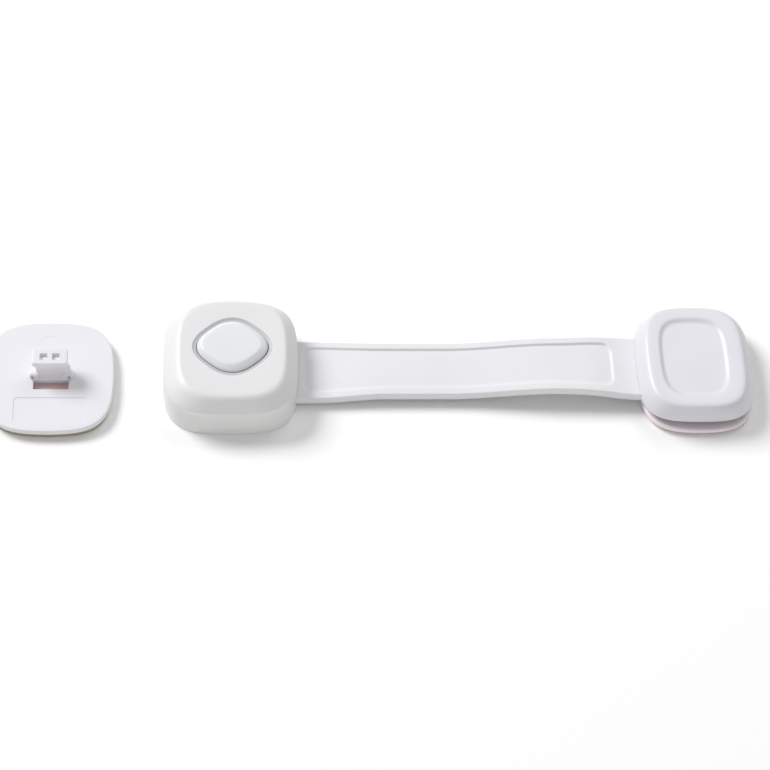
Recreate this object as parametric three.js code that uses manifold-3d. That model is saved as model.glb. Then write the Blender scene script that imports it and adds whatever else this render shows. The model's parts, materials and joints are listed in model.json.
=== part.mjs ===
// Multi-use cupboard lock: a squeeze-to-open lock head, a flexible strap to a swivelling anchor,
// and the separate catch plate that the lock head snaps onto.
// Millimetres. X runs along the strap from the lock head to the anchor, Y away from the viewer, Z up.

import * as THREE from "three";
import { mergeVertices } from "three/addons/utils/BufferGeometryUtils.js";
import Module from "manifold-3d";

const wasm = await Module();
wasm.setup();

// Layout on the table
const headToAnchor = 189.6;
const headToCatch = 73.2;
const catchShiftY = -3;

// Clearances
const seatGap = 0.3;
const slideGap = 0.4;
const turnGap = 0.1;
const touchGap = 0.1;

// Outlines
const outlinePoints = 44;
const bulgePower = 3.8;
const hookPower = 8;
const smallCorner = 0.4;

// Lock head shell
const headHalfX = 27.8;
const headHalfY = 28.2;
const headBeltHalfX = 27.3;
const headBeltHalfY = 27.4;
const headBelt = 14;
const headTopHalfX = 21.9;
const headTopHalfY = 23.7;
const headHeight = 19;
const headEdge = 0.6;
const headWall = 2;
const headTopWall = 2.2;
const gripTop = 13.4;
const gripBottom = 1;
const gripDepth = 0.7;

// Lock head base
const baseThick = 2;
const pocketFloor = 0.8;

// Hook on the catch plate, and how far behind the plate's middle it stands
const hookHalfX = 7.25;
const hookHalfY = 4;
const hookWaistHalfX = 6.15;
const hookWaistHalfY = 2.6;
const hookHeight = 11.1;
const hookBack = 2.4;
const hookRoom = 1;
const lugReach = 2.2;
const lugRadius = 1.5;
const lugY = 0.2;

// Latches, moved inwards by the side buttons
const pressTravel = 2.5;
const railHeight = 2.4;
const railWidth = 1.6;
const barDepth = 3;
const flangeThick = 1.6;
const flangeLap = 1.2;
const gripHalfX = 15;
const gripCorner = 2.6;

// Return springs of the side buttons
const springRadius = 2;
const springWire = 0.3;
const springTurns = 4;
const springWallThick = 1.5;
const springWallHalfX = 4;
const spigotRadius = 1.4;
const spigotLength = 1.5;

// Bridge over the latches
const bridgeThick = 1.2;
const bridgeLeg = 1.1;
const bridgeHalfY = 15.2;

// Decoy button
const decoyShiftX = 0.8;
const decoyBack = 2;
const decoyHalfX = 14.4;
const decoyHalfY = 12.4;
const decoyTopHalfX = 11.2;
const decoyTopHalfY = 9.4;
const decoyProud = 2;
const decoyFlank = 1.8;
const decoyPower = 2.7;
const decoyLip = 1.7;
const decoyFlange = 1.5;
const decoySpringRadius = 11.6;
const decoySpringWire = 0.4;
const decoySpringTurns = 2.2;

// Screws
const screwRadius = 1.1;
const screwHeadRadius = 2.2;
const screwHeadHeight = 1.1;
const screwSunk = 0.15;
const screwLength = 8.6;
const bossRadius = 2.6;
const bossX = 19.2;
const bossY = 17.4;

// Strap
const strapHalfWidth = 12.9;
const strapFlare = 1.4;
const strapFlareHold = 6;
const strapFlareRun = 36;
const strapThick = 4;
const strapRimWidth = 3;
const strapRimSlope = 0.6;
const strapFloor = 3.2;
const strapEdge = 0.8;
const strapStart = 15.6;
const strapRecessStart = 31.2;
const strapRecessEnd = 155.9;
const strapRecessRamp = 1.2;
const strapRecessCorner = 5;
const strapRise = 1;
const strapLift = 3.8;
const strapDip = 0.8;
const strapTuck = 0.8;
const strapStep = 4;
const strapBends = 3;
const pegRadius = 2;
const pegX = 19.5;
const pegY = 7;
const keeperThick = 1.4;
const keeperHalfX = 3.5;
const keeperHalfY = 11.5;

// Anchor
const capHalfX = 24;
const capHalfY = 26.7;
const capTopHalfX = 18.8;
const capTopHalfY = 23.9;
const capBottom = 6;
const capTop = 13.9;
const capShiftX = -0.8;
const capWall = 2;
const panelHalfX = 12.7;
const panelHalfY = 18;
const panelShiftX = -0.8;
const panelShiftY = 0.6;
const panelDepth = 1;
const panelSlope = 1;
const panelWall = 1.6;
const anchorPad = 1;
const anchorPlateTop = 3.2;
const anchorHalfX = 23.6;
const anchorHalfY = 27.8;
const anchorEdge = 0.5;
const anchorPadInset = 1.4;
const paddleBottom = 4.4;
const paddleReach = 9.5;
const studRadius = 4.5;
const thrustRadius = 7;
const washerRadius = 7.5;
const washerThick = 1;
const capScrewX = -11;
const capScrewY = 9.5;
const capScrewLength = 4.6;

// Catch plate
const catchPad = 2;
const catchTop = 4.8;
const catchHalfX = 26.3;
const catchPlateX = -0.7;
const catchHalfY = 26;
const catchEdge = 0.6;
const catchPadInset = 0.5;
const windowFront = -6.4;
const labelHalfX = 14.8;
const labelFront = -22.3;
const labelBack = -10.5;
const labelDepth = 0.25;
const labelCorner = 1;
const coreHalf = 1.55;
const coreSpacing = 2.55;
const coreDepth = 5;

// Colours
const headWhite = 0xe9e9eb;
const buttonWhite = 0xe9ebee;
const strapWhite = 0xecebee;
const capWhite = 0xe4e3ea;
const catchWhite = 0xeeedf2;
const innerWhite = 0xd9dadc;
const innerGrey = 0xb9bcc1;
const padTan = 0x9b8f7c;
const steel = 0xb4b7ba;

// Heights that follow from the sizes above
const lowRailBottom = baseThick + slideGap;
const highRailBottom = lowRailBottom + railHeight + slideGap;
const latchTop = highRailBottom + railHeight;
const bridgeBottom = latchTop + slideGap;
const bridgeTop = bridgeBottom + bridgeThick;
const topUnderside = headHeight - headTopWall;
const decoyFlangeTop = topUnderside - seatGap;
const decoyFlangeBottom = decoyFlangeTop - decoyFlange;
const strapRootBottom = pocketFloor + seatGap;
const gripLow = lowRailBottom + seatGap;
const gripHigh = gripTop - slideGap;
const lowRailX = hookHalfX + lugReach + seatGap + slideGap;
const highRailX = lowRailX + railWidth + slideGap;
const legX = highRailX + railWidth + seatGap;
const flangeHalfX = gripHalfX + flangeLap;
const [insideX, insideY] = insideSize(gripTop);
const flangeCorner = 1 - (flangeHalfX / insideX) ** bulgePower;
const flangeFace = insideY * flangeCorner ** (1 / bulgePower) - slideGap;
const flangeInner = flangeFace - flangeThick;
const springWallY = hookBack + hookWaistHalfY + seatGap + barDepth + pressTravel + slideGap;
const springY = springWallY + springWallThick;
const springZ = (lowRailBottom + latchTop) / 2;
const strapOut = headHalfX;
const strapIn = headToAnchor - anchorHalfX + strapTuck;
const strapEnd = headToAnchor + paddleReach;
const bendAt = Array.from({ length: strapBends }, (_, i) => (
  strapOut + ((strapIn - strapOut) * (2 * i + 1)) / (2 * strapBends)
));

// Basic solids

function solid(geometry) {
  const bare = geometry.clone();
  bare.deleteAttribute("normal");
  bare.deleteAttribute("uv");
  const merged = mergeVertices(bare, 1e-4);
  return new wasm.Manifold(new wasm.Mesh({
    numProp: 3,
    vertProperties: new Float32Array(merged.getAttribute("position").array),
    triVerts: new Uint32Array(merged.index.array),
  }));
}

function geometryOf(body) {
  const mesh = body.getMesh();
  const geometry = new THREE.BufferGeometry();
  geometry.setAttribute("position", new THREE.BufferAttribute(mesh.vertProperties, 3));
  geometry.setIndex(new THREE.BufferAttribute(mesh.triVerts, 1));
  geometry.computeVertexNormals();
  return geometry;
}

function block(low, high) {
  const size = [0, 1, 2].map((i) => high[i] - low[i]);
  const middle = [0, 1, 2].map((i) => (high[i] + low[i]) / 2);
  return solid(new THREE.BoxGeometry(...size).translate(...middle));
}

function post(x, y, radius, low, high, sides = 20) {
  const cylinder = new THREE.CylinderGeometry(radius, radius, high - low, sides);
  return solid(cylinder.rotateX(Math.PI / 2).translate(x, y, (low + high) / 2));
}

function rodAlongX(low, high, y, z, radius, sides = 16) {
  const cylinder = new THREE.CylinderGeometry(radius, radius, high - low, sides);
  return solid(cylinder.rotateZ(Math.PI / 2).translate((low + high) / 2, y, z));
}

function rodAlongY(x, low, high, z, radius, sides = 16) {
  const cylinder = new THREE.CylinderGeometry(radius, radius, high - low, sides);
  return solid(cylinder.translate(x, (low + high) / 2, z));
}

// Closed unit outline with bulging sides and round corners; a larger power gives squarer corners.
function bulgedOutline(power, points = outlinePoints) {
  return Array.from({ length: points }, (_, i) => {
    const angle = (2 * Math.PI * i) / points;
    const c = Math.cos(angle);
    const s = Math.sin(angle);
    return new THREE.Vector2(
      Math.sign(c) * Math.abs(c) ** (2 / power),
      Math.sign(s) * Math.abs(s) ** (2 / power),
    );
  });
}

// The same outline standing on one corner, again reaching one unit along each axis.
function diamondOutline(power) {
  const reach = Math.SQRT2 * 2 ** (-1 / power);
  return bulgedOutline(power).map((p) => p.rotateAround(new THREE.Vector2(), Math.PI / 4).divideScalar(reach));
}

// Solid with one outline at every level; each level is [z, half size in X, half size in Y].
function stack(levels, outline) {
  const last = levels.length - 1;
  const geometry = new THREE.ExtrudeGeometry(new THREE.Shape(outline), {
    depth: last,
    steps: last,
    bevelEnabled: false,
  });
  const position = geometry.getAttribute("position");
  for (let i = 0; i < position.count; i += 1) {
    const [z, halfX, halfY] = levels[Math.round(position.getZ(i))];
    position.setXYZ(i, position.getX(i) * halfX, position.getY(i) * halfY, z);
  }
  return solid(geometry);
}

function roundedShape(lowX, highX, lowY, highY, corner) {
  const shape = new THREE.Shape();
  shape.moveTo(lowX + corner, lowY);
  shape.lineTo(highX - corner, lowY);
  shape.absarc(highX - corner, lowY + corner, corner, -Math.PI / 2, 0);
  shape.lineTo(highX, highY - corner);
  shape.absarc(highX - corner, highY - corner, corner, 0, Math.PI / 2);
  shape.lineTo(lowX + corner, highY);
  shape.absarc(lowX + corner, highY - corner, corner, Math.PI / 2, Math.PI);
  shape.lineTo(lowX, lowY + corner);
  shape.absarc(lowX + corner, lowY + corner, corner, Math.PI, 1.5 * Math.PI);
  return shape;
}

function slab(lowX, highX, lowY, highY, corner, low, high) {
  const shape = roundedShape(lowX, highX, lowY, highY, corner);
  const geometry = new THREE.ExtrudeGeometry(shape, {
    depth: high - low,
    bevelEnabled: false,
    curveSegments: 3,
  });
  return solid(geometry.translate(0, 0, low));
}

// Block with rounded corners as seen along Y.
function upright(halfX, low, high, corner, fromY, toY) {
  const shape = roundedShape(-halfX, halfX, low, high, corner);
  const geometry = new THREE.ExtrudeGeometry(shape, {
    depth: toY - fromY,
    bevelEnabled: false,
    curveSegments: 4,
  });
  return solid(geometry.rotateX(Math.PI / 2).translate(0, toY, 0));
}

class Helix extends THREE.Curve {
  constructor(radius, height, turns) {
    super();
    this.radius = radius;
    this.height = height;
    this.turns = turns;
  }

  getPoint(t, target = new THREE.Vector3()) {
    const angle = 2 * Math.PI * this.turns * t;
    return target.set(this.radius * Math.cos(angle), this.radius * Math.sin(angle), this.height * t);
  }
}

// Coil spring standing on z = 0; the height is that of the whole coil with its wire.
function coil(radius, wire, height, turns, stepsPerTurn) {
  const sides = 6;
  const section = Array.from({ length: sides }, (_, i) => (
    new THREE.Vector2(wire, 0).rotateAround(new THREE.Vector2(), (2 * Math.PI * i) / sides)
  ));
  const geometry = new THREE.ExtrudeGeometry(new THREE.Shape(section), {
    steps: Math.round(turns * stepsPerTurn),
    extrudePath: new Helix(radius, height - 2 * wire, turns),
  });
  return solid(geometry.translate(0, 0, wire));
}

// Screw with its head at the bottom and a cross recess in the head.
function screw(x, y, low, length) {
  const top = low + length;
  const neck = low + screwHeadHeight;
  const arm = screwHeadRadius * 0.6;
  const blade = screwHeadRadius * 0.15;
  const deep = low + screwHeadHeight * 0.6;
  return post(x, y, screwHeadRadius, low, neck, 16)
    .add(post(x, y, screwRadius, neck - touchGap, top, 12))
    .subtract(block([x - arm, y - blade, low - 1], [x + arm, y + blade, deep]))
    .subtract(block([x - blade, y - arm, low - 1], [x + blade, y + arm, deep]));
}

function mix(a, b, t) {
  return a + (b - a) * t;
}

const smooth = THREE.MathUtils.smoothstep;

// Half sizes of the lock head: steep walls up to a belt line, then a bevel to the flat top.
function headSize(z) {
  const wall = z / headBelt;
  const bevel = (z - headBelt) / (headHeight - headBelt);
  return z < headBelt
    ? [mix(headHalfX, headBeltHalfX, wall), mix(headHalfY, headBeltHalfY, wall)]
    : [mix(headBeltHalfX, headTopHalfX, bevel), mix(headBeltHalfY, headTopHalfY, bevel)];
}

// Half sizes inside the walls, which follow the slopes but not the scooped grips.
function insideSize(z) {
  const [halfX, halfY] = headSize(z);
  return [halfX - headWall, halfY - headWall - gripDepth];
}

// Lock head

// The front and rear walls are scooped below the belt, deepest near the top of the scoop.
function headLevel(z) {
  const [halfX, halfY] = headSize(z);
  const across = THREE.MathUtils.clamp((z - gripBottom) / (gripTop - gripBottom), 0, 1);
  return [z, halfX, halfY - gripDepth * Math.sin(Math.PI * across ** 1.6)];
}

const roundOutline = bulgedOutline(bulgePower);
const decoyOutline = diamondOutline(decoyPower);

function headSolid() {
  const grip = [0, 0.12, 0.3, 0.5, 0.68, 0.82, 0.92, 1].map((t) => mix(gripBottom, gripTop, t));
  const levels = [0, ...grip, headBelt, headHeight - headEdge].map(headLevel);
  levels.push([headHeight, headTopHalfX - headEdge, headTopHalfY - headEdge]);
  return stack(levels, roundOutline);
}

function headInside(heights, gap) {
  return stack(heights.map((z) => [z, ...insideSize(z).map((half) => half - gap)]), roundOutline);
}

const corners = [[-1, -1], [1, -1], [1, 1], [-1, 1]];

function lockCover() {
  const outer = headSolid();
  const bore = screwRadius + touchGap;
  const ringHalfX = decoyHalfX + decoyLip;
  const ringHalfY = decoyHalfY + decoyLip;
  let cover = outer.subtract(headInside([-1, headBelt, topUnderside], 0));
  for (const [sx, sy] of corners) {
    const boss = post(sx * bossX, sy * bossY, bossRadius, baseThick + touchGap, topUnderside + touchGap);
    cover = cover.add(boss.intersect(outer));
    cover = cover.subtract(post(sx * bossX, sy * bossY, bore, 0, screwLength + seatGap, 12));
  }
  const hole = stack([
    [topUnderside - 1, decoyHalfX + seatGap, decoyHalfY + seatGap],
    [headHeight - decoyLip * 0.6, decoyHalfX + seatGap, decoyHalfY + seatGap],
    [headHeight, ringHalfX, ringHalfY],
    [headHeight + 1, ringHalfX, ringHalfY],
  ], decoyOutline).translate([decoyShiftX, decoyBack, 0]);
  const slotY = strapHalfWidth + strapFlare + seatGap;
  const slotTop = strapRootBottom + strapThick + seatGap;
  const gripHole = (sign) => upright(
    gripHalfX + seatGap,
    gripLow - seatGap,
    gripHigh + seatGap,
    gripCorner + seatGap,
    Math.min(sign * bossY, sign * (headHalfY + 1)),
    Math.max(sign * bossY, sign * (headHalfY + 1)),
  );
  return cover
    .subtract(hole)
    .subtract(block([strapStart, -slotY, pocketFloor], [headHalfX + 1, slotY, slotTop]))
    .subtract(gripHole(-1))
    .subtract(gripHole(1));
}

function hookOpening(low, high, halfX) {
  return slab(
    -halfX,
    halfX,
    hookBack - hookHalfY - hookRoom,
    hookBack + hookHalfY + hookRoom,
    hookRoom,
    low,
    high,
  );
}

function lockBase() {
  const socketX = hookHalfX + lugReach + seatGap;
  const pocketX = strapStart - seatGap;
  const pocketY = strapHalfWidth + strapFlare + seatGap;
  let base = headInside([0, baseThick], seatGap)
    .subtract(hookOpening(-1, baseThick + 1, socketX))
    .subtract(block([pocketX, -pocketY, pocketFloor], [headHalfX, pocketY, baseThick + 1]));
  for (const [sx, sy] of corners) {
    const headRoom = screwSunk + screwHeadHeight + touchGap;
    base = base
      .subtract(post(sx * bossX, sy * bossY, screwRadius + seatGap, -1, baseThick + 1, 12))
      .subtract(post(sx * bossX, sy * bossY, screwHeadRadius + seatGap, -1, headRoom, 16));
  }
  for (const sign of [-1, 1]) {
    const pegTop = strapRootBottom + strapThick + 2 * seatGap + keeperThick;
    const wall = block(
      [-springWallHalfX, Math.min(sign * springWallY, sign * springY), baseThick - touchGap],
      [springWallHalfX, Math.max(sign * springWallY, sign * springY), latchTop],
    );
    const tip = springY + spigotLength;
    const spigot = rodAlongY(
      0,
      Math.min(sign * springWallY, sign * tip),
      Math.max(sign * springWallY, sign * tip),
      springZ,
      spigotRadius,
    );
    base = base
      .add(post(pegX, sign * pegY, pegRadius, pocketFloor - touchGap, pegTop))
      .add(wall)
      .add(spigot);
  }
  return base;
}

function strapKeeper() {
  const low = strapRootBottom + strapThick + seatGap;
  const bar = slab(
    pegX - keeperHalfX,
    pegX + keeperHalfX,
    -keeperHalfY,
    keeperHalfY,
    1,
    low,
    low + keeperThick,
  );
  return [-1, 1].reduce(
    (body, sign) => body.subtract(post(pegX, sign * pegY, pegRadius + touchGap, low - 1, low + keeperThick + 1)),
    bar,
  );
}

function latchBridge() {
  const half = legX + bridgeLeg;
  const hole = hookOpening(bridgeBottom - 1, bridgeTop + 1, hookHalfX + hookRoom);
  const leg = (sign) => block(
    [Math.min(sign * legX, sign * half), -springWallY, baseThick + touchGap],
    [Math.max(sign * legX, sign * half), springWallY, bridgeTop - touchGap],
  );
  return slab(-half, half, -bridgeHalfY, bridgeHalfY, 2, bridgeBottom, bridgeTop)
    .add(leg(-1))
    .add(leg(1))
    .subtract(hole);
}

// Flange behind the wall, two rails past the hook and a bar that grips its waist from the far side.
// The front latch runs low with a raised bar, the rear latch runs high.
function latch(sign) {
  const low = sign < 0;
  const railX = low ? lowRailX : highRailX;
  const railLow = low ? lowRailBottom : highRailBottom;
  const waist = hookBack - sign * (hookWaistHalfY + seatGap);
  const far = waist - sign * barDepth;
  const outerX = railX + railWidth;
  const span = (a, b) => [Math.min(a, b), Math.max(a, b)];
  const [flangeLow, flangeHigh] = span(sign * flangeInner, sign * flangeFace);
  const [railStart, railStop] = span(far, sign * flangeFace);
  const [barLow, barHigh] = span(waist, far);
  const [tipLow, tipHigh] = span(sign * flangeFace, sign * (flangeInner - spigotLength));
  const rail = (side) => block(
    [Math.min(side * railX, side * outerX), railStart, railLow],
    [Math.max(side * railX, side * outerX), railStop, railLow + railHeight],
  );
  return block([-flangeHalfX, flangeLow, lowRailBottom], [flangeHalfX, flangeHigh, gripTop])
    .add(rail(-1))
    .add(rail(1))
    .add(block([-outerX, barLow, railLow], [outerX, barHigh, latchTop]))
    .add(rodAlongY(0, tipLow, tipHigh, springZ, spigotRadius));
}

// Hidden side button, cut from the scooped wall so that it lies flush with it.
function sideButton(sign) {
  const near = sign * (flangeFace + touchGap);
  const far = sign * headHalfY;
  const pad = upright(gripHalfX, gripLow, gripHigh, gripCorner, Math.min(near, far), Math.max(near, far));
  return pad.intersect(headSolid());
}

function sideSpring(sign) {
  const length = flangeInner - springY - 2 * touchGap;
  const turned = coil(springRadius, springWire, length, springTurns, 12).rotate([-sign * 90, 0, 0]);
  return turned.translate([0, sign * (springY + touchGap), springZ]);
}

function decoyButton() {
  const lip = decoyLip + seatGap;
  const top = headHeight + decoyProud;
  return stack([
    [decoyFlangeBottom, decoyHalfX + lip, decoyHalfY + lip],
    [decoyFlangeTop, decoyHalfX + lip, decoyHalfY + lip],
    [decoyFlangeTop, decoyHalfX, decoyHalfY],
    [top - decoyFlank, decoyHalfX, decoyHalfY],
    [top - decoyFlank * 0.6, mix(decoyHalfX, decoyTopHalfX, 0.2), mix(decoyHalfY, decoyTopHalfY, 0.2)],
    [top - decoyFlank * 0.15, mix(decoyHalfX, decoyTopHalfX, 0.7), mix(decoyHalfY, decoyTopHalfY, 0.7)],
    [top, decoyTopHalfX, decoyTopHalfY],
  ], decoyOutline).translate([decoyShiftX, decoyBack, 0]);
}

function decoySpring() {
  const low = bridgeTop + touchGap;
  const height = decoyFlangeBottom - touchGap - low;
  return coil(decoySpringRadius, decoySpringWire, height, decoySpringTurns, 20).translate([decoyShiftX, decoyBack, low]);
}

// Strap

// Underside of the strap: flat in the lock head, a low rise, a hump, a dip at the anchor cap, level under it.
function strapHeight(x) {
  const t = (x - strapOut) / (strapIn - strapOut);
  const hump = strapRise * smooth(t, 0.06, 0.26) + strapLift * smooth(t, 0.44, 0.75);
  const drop = (strapRootBottom + strapRise + strapLift - paddleBottom) * smooth(t, 0.82, 1);
  const dip = strapDip * smooth(t, 0.86, 0.99) * (1 - smooth(x, strapIn + 2, strapIn + 8));
  return strapRootBottom + hump - drop - dip;
}

function strapFlareAt(x) {
  const fromHead = 1 - smooth(x, strapOut + strapFlareHold, strapOut + strapFlareRun);
  const fromAnchor = smooth(x, strapIn - strapFlareRun, strapIn);
  return strapFlare * Math.max(fromHead, fromAnchor);
}

function strapRecess(x) {
  const fromEnd = Math.min(x - strapRecessStart, strapRecessEnd - x);
  const deep = THREE.MathUtils.clamp(fromEnd / strapRecessRamp, 0, 1);
  const short = THREE.MathUtils.clamp(1 - fromEnd / strapRecessCorner, 0, 1);
  return [deep * (strapThick - strapFloor), strapRecessCorner * (1 - Math.sqrt(1 - short ** 2))];
}

function strapStations(from, to) {
  const ends = [0, strapRecessRamp, strapRecessCorner / 2, strapRecessCorner];
  const count = Math.ceil((to - from) / strapStep);
  const even = Array.from({ length: count + 1 }, (_, i) => mix(from, to, i / count));
  const extra = ends.flatMap((d) => [strapRecessStart + d, strapRecessEnd - d]);
  const inside = extra.filter((x) => x > from + 0.1 && x < to - 0.1);
  const kept = even.filter((x) => inside.every((e) => Math.abs(e - x) > 0.4) || x === from || x === to);
  return [...kept, ...inside].sort((a, b) => a - b);
}

// One length of the strap: a raised bead along both edges and a recessed floor between them.
function strapLength(from, to) {
  const stations = strapStations(from, to);
  const half = strapHalfWidth;
  const rim = half - strapRimWidth;
  const floor = rim - strapRimSlope;
  const side = [
    [half - strapEdge, 0],
    [half, strapEdge],
    [half, strapThick - strapEdge],
    [half - strapEdge, strapThick],
    [rim, strapThick],
    [floor, strapFloor],
  ];
  const mirrored = side.map(([y, z]) => [-y, z]).reverse();
  const outline = [...side, ...mirrored].map(([y, z]) => new THREE.Vector2(y, z));
  const last = stations.length - 1;
  const geometry = new THREE.ExtrudeGeometry(new THREE.Shape(outline), {
    depth: last,
    steps: last,
    bevelEnabled: false,
  });
  const position = geometry.getAttribute("position");
  for (let i = 0; i < position.count; i += 1) {
    const x = stations[Math.round(position.getZ(i))];
    const y = position.getX(i);
    const z = position.getY(i);
    const [depth, corner] = strapRecess(x);
    const inRecess = Math.abs(y) < rim + touchGap && z > strapFloor - touchGap;
    const onFloor = Math.abs(y) < floor + touchGap && z < strapFloor + touchGap && z > 0;
    const shift = strapFlareAt(x) - (inRecess ? corner : 0);
    const height = onFloor ? strapThick - depth : z;
    position.setXYZ(i, x, y + Math.sign(y) * shift, strapHeight(x) + height);
  }
  return solid(geometry);
}

const strapKnuckle = strapThick / 2;
const strapReach = strapHalfWidth + strapFlare + 1;

function bendRod(x, radius) {
  return rodAlongY(x, -strapReach, strapReach, strapHeight(x) + strapThick / 2, radius, 24);
}

// A strap length whose far end is a round knuckle and whose near end is a hollow around the last knuckle.
function strapBetween(nearBend, farBend, start, stop) {
  const from = nearBend ?? start;
  const to = farBend === null ? stop : farBend + strapKnuckle;
  let body = strapLength(from, to);
  if (farBend !== null) {
    const straight = block([from - 1, -strapReach, -headHeight], [farBend, strapReach, headHeight]);
    body = body.intersect(straight.add(bendRod(farBend, strapKnuckle)));
  }
  if (nearBend !== null) {
    body = body.subtract(bendRod(nearBend, strapKnuckle + seatGap));
  }
  return body;
}

function strapRoot() {
  const body = strapBetween(null, bendAt[0], strapStart, null);
  return [-1, 1].reduce(
    (rest, sign) => rest.subtract(post(pegX, sign * pegY, pegRadius + touchGap, 0, headHeight)),
    body,
  );
}

function strapLink(index) {
  return strapBetween(bendAt[index], bendAt[index + 1], null, null);
}

function strapPaddle() {
  let body = strapBetween(bendAt[strapBends - 1], null, null, strapEnd)
    .subtract(post(headToAnchor, 0, studRadius + turnGap, 0, headHeight, 48));
  for (const sign of [-1, 1]) {
    const x = headToAnchor + capScrewX;
    const y = sign * capScrewY;
    const headRoom = paddleBottom + screwSunk + screwHeadHeight + touchGap;
    body = body
      .subtract(post(x, y, screwRadius + touchGap, 0, headHeight, 12))
      .subtract(post(x, y, screwHeadRadius + touchGap, 0, headRoom, 16));
  }
  return body;
}

// Anchor, about its own middle

// Plate with a small bevel around both faces.
function edgedPlate(halfX, halfY, low, high, edge) {
  return stack([
    [low, halfX - edge, halfY - edge],
    [low + edge, halfX, halfY],
    [high - edge, halfX, halfY],
    [high, halfX - edge, halfY - edge],
  ], roundOutline);
}

function capLevels(inset, low, high) {
  const curve = [[0, 0], [0.55, 0.33], [0.88, 0.72], [1, 1]];
  return curve.map(([t, s]) => [
    mix(low, high, t),
    mix(capHalfX, capTopHalfX, s) - inset,
    mix(capHalfY, capTopHalfY, s) - inset,
  ]);
}

function anchorCap() {
  const underside = capTop - panelDepth - panelWall;
  const paddleTop = paddleBottom + strapThick;
  const slotY = strapHalfWidth + strapFlare + seatGap;
  const outer = stack(capLevels(0, capBottom, capTop), roundOutline).translate([capShiftX, 0, 0]);
  const inner = stack(capLevels(capWall, capBottom - 1, underside), roundOutline).translate([capShiftX, 0, 0]);
  const panel = stack([
    [capTop - panelDepth, panelHalfX, panelHalfY],
    [capTop, panelHalfX + panelSlope, panelHalfY + panelSlope],
    [capTop + 1, panelHalfX + panelSlope, panelHalfY + panelSlope],
  ], roundOutline).translate([capShiftX + panelShiftX, panelShiftY, 0]);
  let cap = outer
    .subtract(inner)
    .subtract(panel)
    .subtract(block([capShiftX - capHalfX - 1, -slotY, capBottom - 1], [capScrewX, slotY, paddleTop + seatGap]));
  for (const sign of [-1, 1]) {
    const y = sign * capScrewY;
    const bore = underside - 1 + touchGap;
    cap = cap
      .add(post(capScrewX, y, bossRadius, paddleTop + touchGap, underside + touchGap))
      .subtract(post(capScrewX, y, screwRadius + touchGap, paddleTop, bore, 12));
  }
  return cap;
}

function anchorBase() {
  const thrustTop = paddleBottom - 2 * touchGap;
  const studTop = paddleBottom + strapThick + touchGap;
  return edgedPlate(anchorHalfX, anchorHalfY, anchorPad, anchorPlateTop, anchorEdge)
    .add(post(0, 0, thrustRadius, anchorPlateTop - touchGap, thrustTop, 32))
    .add(post(0, 0, studRadius, anchorPlateTop - touchGap, studTop, 48))
    .subtract(post(0, 0, screwRadius + touchGap, anchorPlateTop, headHeight, 12));
}

const washerBottom = paddleBottom + strapThick + 2 * touchGap;

function swivelWasher() {
  const top = washerBottom + washerThick;
  return post(0, 0, washerRadius, washerBottom, top, 32)
    .subtract(post(0, 0, screwRadius + 2 * touchGap, washerBottom - 1, top + 1, 16));
}

function swivelScrew() {
  const length = washerBottom + washerThick + touchGap + screwHeadHeight - anchorPlateTop - seatGap;
  const flipped = screw(0, 0, 0, length).rotate([180, 0, 0]);
  return flipped.translate([0, 0, anchorPlateTop + seatGap + length]);
}

function pad(halfX, halfY, thick) {
  return stack([[0, halfX, halfY], [thick - touchGap, halfX, halfY]], roundOutline);
}

// Catch plate, about its own middle

function catchPlate() {
  const plate = edgedPlate(catchHalfX, catchHalfY, catchPad, catchTop, catchEdge).translate([catchPlateX, 0, 0]);
  const profile = [[-0.1, 1], [0.02, 1], [0.08, 0.3], [0.15, 0], [0.69, 0], [0.74, 0.9], [0.77, 1], [1, 1]];
  const levels = profile.map(([t, wide]) => [
    catchTop + hookHeight * t,
    mix(hookWaistHalfX, hookHalfX, wide),
    mix(hookWaistHalfY, hookHalfY, wide),
  ]);
  const hook = stack(levels, bulgedOutline(hookPower, 28)).translate([0, hookBack, 0]);
  const lugEnd = hookHalfX + lugReach - seatGap;
  const lugZ = catchTop + lugRadius - touchGap;
  const labelFloor = catchTop - labelDepth;
  const top = catchTop + hookHeight;
  let body = plate
    .subtract(slab(-hookHalfX, hookHalfX, windowFront, hookBack - hookHalfY, smallCorner, 0, catchTop + 1))
    .add(hook)
    .add(rodAlongX(-lugEnd, lugEnd, lugY, lugZ, lugRadius))
    .subtract(slab(-labelHalfX, labelHalfX, labelFront, labelBack, labelCorner, labelFloor, catchTop + 1));
  for (const sign of [-1, 1]) {
    const x = sign * coreSpacing;
    body = body.subtract(slab(
      x - coreHalf,
      x + coreHalf,
      hookBack - coreHalf,
      hookBack + coreHalf,
      smallCorner,
      top - coreDepth,
      top + 1,
    ));
  }
  return body;
}

// Assembly

const lowX = -headToCatch + catchPlateX - catchHalfX;
const highX = headToAnchor + Math.max(anchorHalfX, capHalfX + capShiftX);
const lowY = Math.min(-headHalfY, -anchorHalfY, catchShiftY - catchHalfY);
const highY = Math.max(headHalfY, anchorHalfY, catchShiftY + catchHalfY);

const head = new THREE.Group();
head.position.set(-(lowX + highX) / 2, -(lowY + highY) / 2, 0);
const anchor = new THREE.Group();
anchor.position.copy(head.position).x += headToAnchor;
const catchGroup = new THREE.Group();
catchGroup.position.copy(head.position);
catchGroup.position.x -= headToCatch;
catchGroup.position.y += catchShiftY;

function place(group, name, body, color, roughness, metalness = 0) {
  const material = new THREE.MeshStandardMaterial({ color, roughness, metalness });
  const mesh = new THREE.Mesh(geometryOf(body), material);
  mesh.name = name;
  group.add(mesh);
}

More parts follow.
